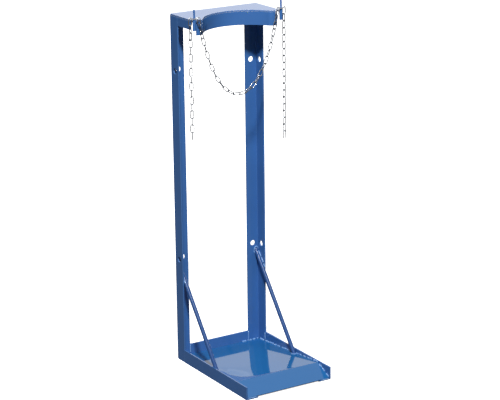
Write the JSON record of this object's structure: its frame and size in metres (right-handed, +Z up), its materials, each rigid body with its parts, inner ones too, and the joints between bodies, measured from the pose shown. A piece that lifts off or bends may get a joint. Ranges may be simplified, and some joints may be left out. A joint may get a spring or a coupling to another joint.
{
  "type": "gas cylinder floor bracket",
  "caption": "Welded blue angle-iron floor bracket for one gas cylinder, with a tilted floor and ramp, curved top rest, drilled uprights and a safety chain on two pegs.",
  "frame": {"origin": "on the ground, in the middle of the bracket's width and depth", "axes": "+X to the bracket's right seen from the front, +Y to the back where it is fixed, +Z up"},
  "size_m": [0.3134, 0.38, 1.05],
  "materials": {
    "blue_paint": "gloss",
    "zinc": "satin"
  },
  "bodies": {
    "bracket": {"left_upright": "blue_paint", "right_upright": "blue_paint", "left_base_rail": "blue_paint", "right_base_rail": "blue_paint", "back_base_rail": "blue_paint", "floor_plate": "blue_paint", "left_brace": "blue_paint", "right_brace": "blue_paint", "top_plate": "blue_paint", "top_front_band": "blue_paint", "left_top_bar": "blue_paint", "right_top_bar": "blue_paint", "left_chain_peg": "blue_paint", "right_chain_peg": "blue_paint", "left_peg_link": "zinc", "right_peg_link": "zinc", "left_hook_link": "zinc", "right_hook_link": "zinc"},
    "left_tail_link": {"left_tail_top_link": "zinc"},
    "right_tail_link": {"right_tail_top_link": "zinc"},
    "left_tail": {"left_tail_chain": "zinc"},
    "right_tail": {"right_tail_chain": "zinc"},
    "loop": {"chain_swag": "zinc"}
  },
  "joints": [
    {"name": "left_tail_sideways", "type": "hinge", "parent": "bracket", "child": "left_tail_link", "pos_m": [-0.15065, 0.0602, 1.02535], "axis": [0, 1, 0], "range_deg": [0, 30]},
    {"name": "right_tail_sideways", "type": "hinge", "parent": "bracket", "child": "right_tail_link", "pos_m": [0.15065, 0.0602, 1.02535], "axis": [0, -1, 0], "range_deg": [0, 30]},
    {"name": "left_tail_swing", "type": "hinge", "parent": "left_tail_link", "child": "left_tail", "pos_m": [-0.15065, 0.0602, 1.00555], "axis": [1, 0, 0], "range_deg": [-60, 60]},
    {"name": "right_tail_swing", "type": "hinge", "parent": "right_tail_link", "child": "right_tail", "pos_m": [0.15065, 0.0602, 1.00555], "axis": [1, 0, 0], "range_deg": [-60, 60]},
    {"name": "loop_swing", "type": "hinge", "parent": "bracket", "child": "loop", "pos_m": [0, 0.0546, 1.006], "axis": [-1, 0, 0], "range_deg": [-1.5, 75]}
  ]
}
